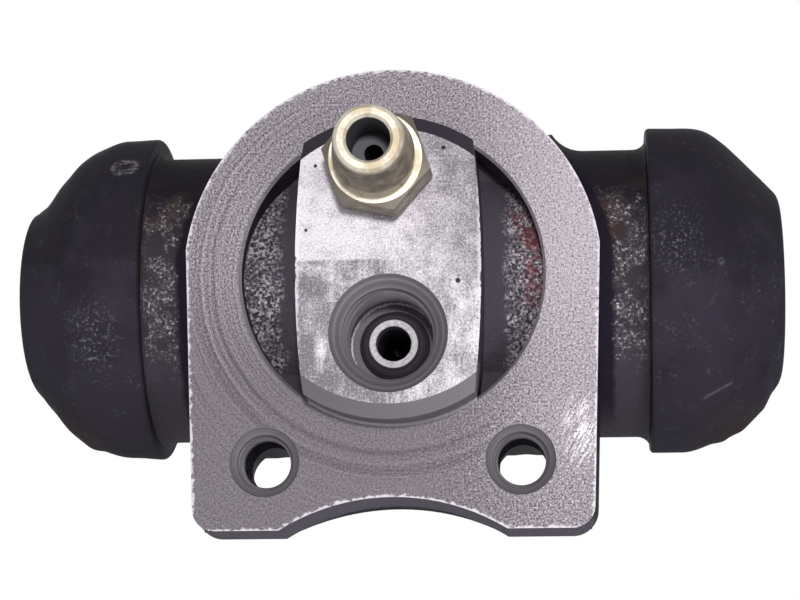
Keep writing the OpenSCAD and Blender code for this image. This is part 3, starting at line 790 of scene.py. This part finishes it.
@dataclass(frozen=True)
class PlatedFinish:
    """Zinc plate with a pale yellow passivation; front faces, the tip's rim and the hexagon's face are painted
    lighter as light falls on them, the chamfer and the bore painted darker.
    """

    tip_y: float
    axis_x: float
    axis_z: float
    bore_r: float
    plate: Colour = (0.450, 0.390, 0.300, 1)
    olive: Colour = (0.200, 0.172, 0.148, 1)
    painted_front_reflection: Colour = (0.720, 0.660, 0.560, 1)
    tarnish: Colour = (0.430, 0.330, 0.190, 1)
    painted_highlight: Colour = (0.840, 0.775, 0.660, 1)
    inside: Colour = (0.100, 0.097, 0.114, 1)

    def make(self) -> bpy.types.Material:
        """Lays tone, tarnish and painted light and shade over the plate.

        Returns:
            The material.
        """
        sheet = MaterialSheet("plated_steel")
        facing = sheet.normal_y
        cloud = sheet.noise(0.7, 3.0)
        mottle = sheet.noise(2.6, 3.0, 0.7)
        from_axis = sheet.away((self.axis_x, 0, self.axis_z), FROM_Y_LINE)
        from_tip = sheet.y - self.tip_y
        flat = facing.rise(-0.85, -0.95)
        on_hexagon = from_tip.rise(2.0, 4.0)
        rim = from_tip.rise(0.60, 0.30) * (1 - flat)
        blotch = sheet.noise(0.42, 3.0, 0.65).rise(0.44, 0.62)
        hole = from_axis.rise(self.bore_r + 0.08, self.bore_r + 0.02) * from_tip.rise(0.2, 1.2)
        lathe = sheet.streaks(3.0, 0.6, sheet.y * 4.0, from_axis * 4.0)
        colour = sheet.layers(
            self.plate,
            (self.olive, cloud.rise(0.32, 0.66) * 0.8),
            # Painted reflection: faces towards the front are lighter than the sides
            (self.painted_front_reflection, facing.rise(-0.2, -0.8) * 0.85),
            (self.olive, mottle.rise(0.50, 0.70) * 0.35),
            # Painted light: the hexagon's flat face is lighter, also where the nipple shades it
            (self.painted_highlight, flat * on_hexagon),
            # Painted shade: the hexagon's chamfer is darker
            (self.olive, facing.band(-0.90, -0.82, 0.03) * on_hexagon * 0.75),
            # Painted highlight on the tip's rim
            (self.painted_highlight, rim * 0.9),
            (self.tarnish, (flat | rim) * blotch * 0.6),
            # Painted shade: the bore's inside is dark
            (self.inside, hole),
        )
        return sheet.finish(
            Base_Color=colour,
            Metallic=hole.between(1.0, 0.3) * rim.between(1.0, 0.4),
            Roughness=cloud.between(0.50, 0.60),
            Normal=sheet.bump(lathe + mottle * 0.8, 0.018, 0.7),
        )


@dataclass(frozen=True)
class TurnedAlloyFinish:
    """Turned metal: fine rings along the turning axis and dull patches."""

    name: str
    bright: Colour
    dull: Colour
    rings_per_mm: float
    roughness: float

    def make(self) -> bpy.types.Material:
        """Lays the dull patches and the rings.

        Returns:
            The material.
        """
        sheet = MaterialSheet(self.name)
        cloud = sheet.noise(0.35, 4.0)
        rings = sheet.streaks(3.0, 0.6, sheet.x * self.rings_per_mm)
        return sheet.finish(
            Base_Color=cloud.rise(0.35, 0.70).mix(self.bright, self.dull),
            Metallic=1.0,
            Roughness=cloud.between(self.roughness - 0.06, self.roughness + 0.10),
            Normal=sheet.bump(rings, 0.012, 0.7),
        )


@dataclass(frozen=True)
class CupRubberFinish:
    """Smooth black seal rubber with a faint mould grain."""

    rubber: Colour = (0.018, 0.017, 0.019, 1)
    sheen: Colour = (0.034, 0.033, 0.036, 1)

    def make(self) -> bpy.types.Material:
        """Lays a sheen and the mould grain.

        Returns:
            The material.
        """
        sheet = MaterialSheet("cup_rubber")
        cloud = sheet.noise(0.5, 3.0)
        return sheet.finish(
            Base_Color=cloud.mix(self.rubber, self.sheen),
            Roughness=cloud.between(0.36, 0.52),
            Normal=sheet.bump(sheet.noise(3.0, 2.0), 0.01, 0.5),
        )


@dataclass(frozen=True)
class FloorFinish:
    """Plain pale studio floor."""

    pale: Colour = (0.86, 0.86, 0.86, 1)
    paler: Colour = (0.90, 0.90, 0.90, 1)

    def make(self) -> bpy.types.Material:
        """Makes it matt and faintly clouded.

        Returns:
            The material.
        """
        sheet = MaterialSheet("studio_floor")
        colour = sheet.noise(0.01, 2.0).mix(self.pale, self.paler)
        return sheet.finish(Base_Color=colour, Roughness=0.9, Specular_IOR_Level=0.1)


def dress(piece: bpy.types.Object, material: bpy.types.Material) -> None:
    """Puts one material on a whole piece."""
    piece.data.materials.clear()
    piece.data.materials.append(material)


def node_box(node: str) -> tuple[Array, Array]:
    """Lowest and highest corner of a CAD node in millimetres."""
    low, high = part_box(node)
    return np.array(low) / MM, np.array(high) / MM


def mount(name: str) -> dict[str, Any]:
    """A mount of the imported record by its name."""
    return next(entry for entry in frame["record"]["mounts"] if entry["name"] == name)


# Sub-assemblies


@dataclass
class TappedHole:
    """Inside thread of a hole that runs along Y, as one ridge wound along a helix."""

    name: str
    centre_x: float
    centre_z: float
    start_y: float
    end_y: float
    pitch: float
    wall_r: float
    crest_r: float
    steps_per_turn: int = 48
    sink: float = 0.03
    run_out: float = 0.6
    least_h: float = 0.04
    root_half: float = 0.43
    crest_half: float = 0.08

    def build(self) -> bpy.types.Object:
        """Carries the thread's section along a helix.

        A point of the helix at t turns lies at angle 360 t and at the start plus t pitches; the section is a
        ridge with sloping flanks, sunk a little into the wall, whose crest fades to the wall at both ends.

        Returns:
            The ridge.
        """
        turns = (self.end_y - self.start_y) / self.pitch
        t = np.linspace(0, turns, int(turns * self.steps_per_turn) + 1)
        fade = ease(t, 0, self.run_out) * ease(turns - t, 0, self.run_out)
        height = self.least_h + (1 - self.least_h) * fade
        crest = self.wall_r - (self.wall_r - self.crest_r) * height
        root = np.full_like(t, self.wall_r + self.sink)
        radius = np.stack([root, crest, crest, root], axis=-1)
        section = np.array([-self.root_half, -self.crest_half, self.crest_half, self.root_half])
        along = self.start_y + self.pitch * (t[:, None] + section)
        angle = 2 * math.pi * t[:, None]
        x, z = self.centre_x + radius * np.cos(angle), self.centre_z + radius * np.sin(angle)
        return surface_object(self.name, np.stack([x, along, z], axis=-1), Closure.CAPS, sharp_deg=25)


@dataclass
class Housing:
    """The iron casting: its finish, and the threads that are cut in it."""

    rim_x: float = 27.3
    bore_r: float = 10.32
    pilot_r: float = 16.1
    pilot_h: float = 5.0
    pocket_edge: float = 0.3
    boss_half: float = 9.75
    flange_r: float = 22.3
    side_half: float = 22.0
    side_lean: float = 0.033
    foot_z: float = -27.2
    arch_r: float = 22.9
    arch_rise: float = 3.4
    bolt_csk: float = 0.75
    bolt_lead: float = 0.4
    bolt_depth: float = 10.4
    bolt_pitch: float = 1.0
    port_csk: float = 1.3
    port_lead: float = 0.5
    port_l: float = 9.5
    port_thread_l: float = 6.2
    port_pitch: float = 1.0
    thread_h: float = 0.40

    def __post_init__(self) -> None:
        """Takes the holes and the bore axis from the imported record."""
        bolts, port, slot = mount("mounting_bolts"), mount("pipe_port"), mount("shoe_slot_right")
        self.bolt_z = bolts["pos_m"][2] / MM
        self.bolt_x = bolts["dims"]["spacing_x_mm"] / 2
        self.bolt_r = bolts["dims"]["hole_r_mm"]
        self.port_z = port["pos_m"][2] / MM
        self.port_r = port["dims"]["r_mm"]
        self.axis_y, self.axis_z = slot["pos_m"][1] / MM, slot["pos_m"][2] / MM

    def build(self) -> list[bpy.types.Object]:
        """Cuts the pipe thread and the two bolt threads.

        Returns:
            The three thread ridges.
        """
        port_y = self.port_csk - self.pilot_h
        holes = [
            TappedHole(
                "pipe_port_thread",
                0.0,
                self.port_z,
                port_y + self.port_lead,
                port_y + self.port_thread_l,
                self.port_pitch,
                self.port_r,
                self.port_r - self.thread_h,
            )
        ]
        holes += [
            TappedHole(
                f"bolt_thread_{side.word}",
                side.value * self.bolt_x,
                self.bolt_z,
                self.bolt_csk + self.bolt_lead,
                self.bolt_depth,
                self.bolt_pitch,
                self.bolt_r,
                self.bolt_r - self.thread_h,
            )
            for side in Side
        ]
        pieces = [hole.build() for hole in holes]
        for piece in pieces:
            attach(piece, "housing")
        return pieces

    def dress(self, threads: list[bpy.types.Object]) -> list[bpy.types.Object]:
        """Gives the casting and its threads their finish.

        Args:
            threads: The thread ridges.

        Returns:
            The casting and its threads.
        """
        iron = CastIronFinish(self).make()
        pieces = [frame["nodes"]["housing"], *threads]
        for piece in pieces:
            dress(piece, iron)
        return pieces


@dataclass
class DustBoot:
    """Rubber boot over one end: rim, shoulder, cone, flat end, lip on the piston and bead in the barrel."""

    side: Side
    top_fit: tuple[float, ...]
    low_fit: tuple[float, ...]
    rim_l: float = 3.62
    rim_edge_r: float = 0.45
    shoulder_r: float = 8.0
    end_r: float = 1.8
    end_face_r: float = 9.65
    hole_r: float = 8.1
    hole_edge_r: float = 0.35
    lip_back: float = 1.9
    lip_t: float = 2.2
    lip_r: float = 6.88
    hollow_start: float = 33.4
    hollow_r: float = 8.8
    hollow_power: float = 4 / 3
    seat_r: float = 15.45
    bead_r: float = 14.25
    bead_start: float = 29.78
    bead_l: float = 1.74
    stations: tuple[float, ...] = (27.4, 31.0, 34.0, 36.0, 38.0, 40.0, 41.2, 42.1)
    around: int = 168

    def __post_init__(self) -> None:
        """Takes the outer size and place from the CAD boot."""
        low, high = node_box(f"dust_boot_{self.side.word}")
        self.rim_x, self.end_x = sorted((float(abs(low[0])), float(abs(high[0]))))
        self.outer_r = float(high[2] - low[2]) / 2
        self.axis = (low + high)[1:] / 2

    def outside(self) -> Array:
        """Outer half of the section as (x, radius): rim edge, rim, shoulder arc, cone, end arc and end face.

        The cone is the line that touches both arcs: its lean is the arc sine of the difference of the radii
        over the distance of the centres, less the angle of the line of centres.

        Returns:
            Points of shape (n, 2).
        """
        shoulder = (self.rim_x + self.rim_l, self.outer_r - self.shoulder_r)
        end = (self.end_x - self.end_r, self.end_face_r)
        run = np.subtract(end, shoulder)
        lean = math.asin((self.shoulder_r - self.end_r) / float(np.hypot(*run)))
        slope = 90 - math.degrees(lean - math.atan2(run[1], run[0]))
        rim_at = (self.rim_x + self.rim_edge_r, self.outer_r - self.rim_edge_r)
        rim = arc(rim_at, self.rim_edge_r, 180, 90, 6)
        bend = arc(shoulder, self.shoulder_r, 90, slope, 22)
        edge = arc(end, self.end_r, slope, 0, 10)
        face_r = np.linspace(self.end_face_r - 0.2, self.hole_r + self.hole_edge_r + 0.2, 4)
        face = np.stack([np.full_like(face_r, self.end_x), face_r], axis=-1)
        straight = np.linspace(rim[-1], bend[0], 14)[1:-1]
        cone = np.linspace(bend[-1], edge[0], 22)[1:-1]
        return np.concatenate([rim, straight, bend, cone, edge, face])

    def inside(self) -> Array:
        """Inner half of the section as (x, radius): opening, lip in the piston groove, hollow, seat and bead.

        The hollow follows a rounded cone: the radius falls with the 4/3 power of the cosine while x grows
        with that of the sine.

        Returns:
            Points of shape (n, 2).
        """
        lip_1 = self.end_x - self.lip_back
        lip_0 = lip_1 - self.lip_t
        edge_at = (self.end_x - self.hole_edge_r, self.hole_r + self.hole_edge_r)
        opening = arc(edge_at, self.hole_edge_r, 0, -90, 6)
        lip = np.array([(lip_1, self.hole_r), (lip_1, self.lip_r), (lip_0, self.lip_r)])
        angle = np.radians(np.linspace(90, 0, 12))
        x = self.hollow_start + (lip_0 - self.hollow_start) * np.sin(angle) ** self.hollow_power
        r = self.hollow_r + (self.seat_r - self.hollow_r) * np.cos(angle) ** self.hollow_power
        bead_end = self.bead_start + self.bead_l
        bead = [(bead_end, self.seat_r), (bead_end, self.bead_r), (self.bead_start, self.bead_r)]
        seat = np.array([*bead, (self.bead_start, self.seat_r), (self.rim_x, self.seat_r)])
        return np.concatenate([opening, lip, np.stack([x, r], axis=-1), seat])

    def outline_fit(self, x: Array, fit: tuple[float, ...]) -> Array:
        """Growth of the outline along the boot: smooth steps from each station's value to the next one's.

        Args:
            x: Distances along the bore.
            fit: Growth in millimetres at the stations.

        Returns:
            Growth at each distance.
        """
        growth = np.full_like(x, fit[0])
        for near, far, value, after in zip(self.stations, self.stations[1:], fit, fit[1:]):
            growth = growth + (after - value) * ease(x, near, far)
        return growth

    def build(self) -> bpy.types.Object:
        """Turns the section about the bore axis and lets the outside give as used rubber does.

        A point at angle a from Y has y = axis + r cos a and z = axis + r sin a. The outside grows by the
        upper outline's fit times the square of sin a where it is positive, and by the lower one's where it
        is negative.

        Returns:
            The boot.
        """
        outside, inside = self.outside(), self.inside()
        section = np.concatenate([outside, inside])
        skin = np.concatenate([np.ones(len(outside)), np.zeros(len(inside))])[:, None]
        x, r = section[:, 0, None], section[:, 1, None]
        a = np.linspace(0, 2 * math.pi, self.around, endpoint=False)[None, :]
        on_wall = ease(r, self.hole_r + 0.6, self.hole_r + 2.0) * skin
        upper, lower = np.maximum(np.sin(a), 0) ** 2, np.maximum(-np.sin(a), 0) ** 2
        give = self.outline_fit(x, self.top_fit) * upper + self.outline_fit(x, self.low_fit) * lower
        grid = about_x(self.side.value * x, r + on_wall * give, a, self.axis)
        boot = surface_object(f"rubber_boot_{self.side.word}", grid, Closure.RING, sharp_deg=50)
        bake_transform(boot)
        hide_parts(f"dust_boot_{self.side.word}")
        return boot


@dataclass
class ExpanderSpring:
    """Coil spring between the pistons, as two halves, one towards each piston."""

    coil_r: float = 6.2
    wire_r: float = 0.55
    open_turns: float = 3.0
    end_pitch: float = 1.19
    steps_per_turn: int = 56
    wire_sides: int = 14

    def __post_init__(self) -> None:
        """Takes the length and the axis from the CAD spring."""
        low, high = node_box("expander_spring")
        self.half_span = float(high[0] - low[0]) / 2 - self.wire_r
        self.axis = np.array(mount("shoe_slot_right")["pos_m"][1:]) / MM

    def build(self, side: Side) -> bpy.types.Object:
        """Carries a round wire along half of the helix.

        At t turns from the middle the wire is at angle 360 t; its distance along the axis grows by the open
        pitch per turn and by the closed pitch in the last turn.

        Args:
            side: Half of the spring to make.

        Returns:
            The half, from the middle towards its piston.
        """
        half_open = self.open_turns / 2
        far = self.half_span - self.end_pitch
        t = np.linspace(0, half_open + 1, int((half_open + 1) * self.steps_per_turn))
        along = np.minimum(t, half_open) * far / half_open + np.maximum(t - half_open, 0) * self.end_pitch
        angle = (side.value * 2 * math.pi * t)[:, None]
        round_wire = np.linspace(0, 2 * math.pi, self.wire_sides, endpoint=False)[None, :]
        radius = self.coil_r + self.wire_r * np.cos(round_wire)
        x = side.value * along[:, None] + self.wire_r * np.sin(round_wire)
        grid = about_x(x, radius, angle, self.axis)
        half = surface_object(f"spring_half_{side.word}", grid, Closure.CAPS, sharp_deg=45)
        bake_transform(half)
        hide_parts("expander_spring")
        return half


@dataclass
class BleedScrew:
    """The drilled bleed screw: only its finish, because its CAD form is complete."""

    bore_r: float = 2.25

    def dress(self) -> bpy.types.Object:
        """Gives the screw its plated finish.

        Returns:
            The screw.
        """
        turn = next(joint for joint in frame["joints"] if joint["name"] == "bleed_screw_turn")
        low, _ = node_box("bleed_screw")
        axis_x, _, axis_z = (place / MM for place in turn["pos_m"])
        piece = frame["nodes"]["bleed_screw"]
        dress(piece, PlatedFinish(float(low[1]), axis_x, axis_z, self.bore_r).make())
        return piece


@dataclass
class PistonSet:
    """Pistons, cups and spring seats, which keep their CAD form."""

    alloy: TurnedAlloyFinish = TurnedAlloyFinish(
        "piston_alloy", (0.56, 0.56, 0.58, 1), (0.44, 0.44, 0.47, 1), 3.0, 0.38
    )
    steel: TurnedAlloyFinish = TurnedAlloyFinish(
        "seat_steel", (0.46, 0.46, 0.48, 1), (0.30, 0.30, 0.32, 1), 5.0, 0.40
    )
    rubber: CupRubberFinish = CupRubberFinish()

    def dress(self) -> list[bpy.types.Object]:
        """Gives pistons, cups and seats their finishes.

        Returns:
            The dressed pieces.
        """
        pieces = []
        finishes = (("piston", self.alloy), ("cup_seal", self.rubber), ("spring_seat", self.steel))
        for node, finish in finishes:
            material = finish.make()
            for side in Side:
                pieces.append(frame["nodes"][f"{node}_{side.word}"])
                dress(pieces[-1], material)
        return pieces


# Camera and light


def direction(azimuth: float, elevation: float) -> Array:
    """Direction from the part: azimuth in degrees from the front towards +X, elevation upwards."""
    a, e = math.radians(azimuth), math.radians(elevation)
    return np.array([math.sin(a) * math.cos(e), -math.cos(a) * math.cos(e), math.sin(e)])


def looking(back: Array, place: Array, roll: float = 0.0) -> Matrix:
    """Pose of something that looks against a direction.

    Its columns are right, up, back and place; right is level before the roll turns it towards up.

    Args:
        back: Direction against which it looks.
        place: Where it stands, in metres.
        roll: Its turn in degrees.

    Returns:
        The 4 x 4 matrix.
    """
    right = np.cross(-back, (0, 0, 1))
    right = right / np.linalg.norm(right)
    up = np.cross(right, -back)
    c, s = math.cos(math.radians(roll)), math.sin(math.radians(roll))
    rows = np.eye(4)
    rows[:3, :] = np.stack([c * right + s * up, c * up - s * right, back, place], axis=-1)
    return Matrix(rows.tolist())


@dataclass(frozen=True)
class Lamp:
    """A square soft lamp aimed at the part, placed by its direction from it; sizes in metres."""

    name: str
    azimuth: float
    elevation: float
    distance: float
    size: float
    radiance: float

    def place(self, target: Array) -> None:
        """Makes the lamp; its power is its radiance times pi times its area.

        Args:
            target: Point that it looks at, in metres.
        """
        data = bpy.data.lights.new(self.name, "AREA")
        data.shape = "SQUARE"
        data.size = self.size
        data.energy = self.radiance * math.pi * self.size**2
        lamp = add_object(self.name, data)
        back = direction(self.azimuth, self.elevation)
        lamp.matrix_world = looking(back, target + self.distance * back)
        lamp.visible_camera = False


@dataclass
class Studio:
    """Camera at the photograph's viewpoint, lamps, pale floor and white surroundings."""

    azimuth: float = 4.395
    elevation: float = -9.823
    roll: float = -0.215
    distance: float = 276.08
    target: Vec = (0.117, 10.0, -1.169)
    image_w: float = 800.0
    focus_px: float = 2508.0
    sensor: float = 36.0
    floor_z: float = -260.0
    floor_half: float = 3000.0
    surround: float = 0.28
    white: Colour = (1, 1, 1, 1)
    lamps: tuple[Lamp, ...] = (
        Lamp("key", 5.0, 5.5, 0.70, 0.07, 160.0),
        Lamp("low_fill", 35.0, -12.0, 0.35, 0.10, 9.0),
        Lamp("left_fill", -40.0, 8.0, 0.90, 0.40, 1.0),
        Lamp("back_fill", 190.0, 14.0, 0.90, 0.50, 2.6),
    )

    def shoot(self) -> None:
        """Makes the camera: it looks at the target from its direction and is turned by its roll."""
        data = bpy.data.cameras.new("camera")
        data.sensor_width = self.sensor
        data.lens = self.focus_px * self.sensor / self.image_w
        data.clip_start, data.clip_end = 0.01, 50.0
        camera = add_object("camera", data)
        back = direction(self.azimuth, self.elevation)
        place = (np.array(self.target) + self.distance * back) * MM
        camera.matrix_world = looking(back, place, self.roll)
        bpy.context.scene.camera = camera

    def light(self) -> None:
        """Sets the lamps and a dim room whose far side is white to the camera and in reflections."""
        for lamp in self.lamps:
            lamp.place(np.array(self.target) * MM)
        sheet = NodeSheet(bpy.data.worlds.new("surroundings"))
        path = sheet.node("ShaderNodeLightPath", {}).outputs
        rays = ("Is Camera Ray", "Is Glossy Ray", "Is Transmission Ray")
        camera, glossy, through = (Signal(sheet, path[ray]) for ray in rays)
        ahead = sheet.split(sheet.node("ShaderNodeTexCoord", {}).outputs["Generated"])[1]
        far_side = sheet.number("ShaderNodeMapRange", {"Value": ahead, "From Min": 0.0, "From Max": 0.5})
        seen = camera | (glossy | through) * far_side
        soft, bright = (
            sheet.node("ShaderNodeBackground", {"Color": self.white, "Strength": strength}).outputs[0]
            for strength in (self.surround, 1.0)
        )
        shown = sheet.node("ShaderNodeMixShader", {0: seen, 1: soft, 2: bright}).outputs[0]
        sheet.node("ShaderNodeOutputWorld", {"Surface": shown})
        bpy.context.scene.world = sheet.owner
        bpy.context.scene.view_settings.view_transform = "Standard"

    def lay_floor(self) -> None:
        """Lays a pale square floor below the part and below the camera."""
        corners = np.array([(-1, -1), (1, -1), (1, 1), (-1, 1)]) * self.floor_half
        points = np.column_stack([corners, np.full(4, self.floor_z)]) * MM
        mesh = bpy.data.meshes.new("studio_floor")
        mesh.from_pydata(points.tolist(), [], [(0, 1, 2, 3)])
        floor = add_object("studio_floor", mesh)
        dress(floor, FloorFinish().make())


def boot_pair() -> list[tuple[DustBoot, BootRubberFinish]]:
    """Sets the give of both boots' outlines and the marks that they carry.

    Returns:
        Each boot with its finish.
    """
    left = DustBoot(
        Side.LEFT,
        top_fit=(0.31, 0.18, -0.19, -0.22, -0.41, -1.15, -0.85, -0.40),
        low_fit=(-0.10, -0.33, -0.40, 0.19, 0.47, 0.06, -0.22, -0.30),
    )
    right = DustBoot(
        Side.RIGHT,
        top_fit=(0.36, 0.30, 0.48, 0.30, 0.33, 0.31, 0.27, 0.20),
        low_fit=(-0.20, -0.20, -0.43, 0.12, 0.90, 0.89, 0.00, -0.30),
    )
    left_rubber = BootRubberFinish(
        "boot_rubber_left",
        axis_y=float(left.axis[0]),
        scuff_at=(-29.9, 5.5, 13.4),
        scuff_r=1.1,
        dust_at=(-32.4, 0.0, -6.0),
        dust_half=(4.0, 0.0, 5.0),
        scratch_from=(-33.4, 0.0, -8.3),
        scratch_to=(-32.3, 0.0, -8.2),
    )
    right_rubber = BootRubberFinish(
        "boot_rubber_right",
        axis_y=float(right.axis[0]),
        scuff_at=(34.6, 1.9, 0.9),
        scuff_r=0.2,
        dust_at=(30.3, 0.0, 3.2),
        dust_half=(3.4, 0.0, 5.6),
        scratch_from=(33.2, 0.0, -12.8),
        scratch_to=(35.8, 0.0, -11.4),
    )
    return [(left, left_rubber), (right, right_rubber)]


def main() -> None:
    """Builds and dresses every sub-assembly, then sets up the studio."""
    logging.basicConfig(level=logging.INFO, format="%(message)s")
    housing = Housing()
    for piece in housing.dress(housing.build()):
        LOG.info("%s: cast iron", piece.name)
    for shape, finish in boot_pair():
        boot = shape.build()
        dress(boot, finish.make())
        LOG.info("%s: rubber", boot.name)
    for piece in PistonSet().dress():
        LOG.info("%s: dressed", piece.name)
    spring = ExpanderSpring()
    wire = TurnedAlloyFinish("spring_wire", (0.40, 0.40, 0.42, 1), (0.22, 0.22, 0.24, 1), 6.0, 0.36).make()
    for side in Side:
        half = spring.build(side)
        dress(half, wire)
        LOG.info("%s: spring steel", half.name)
    LOG.info("%s: zinc plate", BleedScrew().dress().name)
    studio = Studio()
    studio.shoot()
    studio.light()
    studio.lay_floor()


if __name__ == "__main__":
    main()
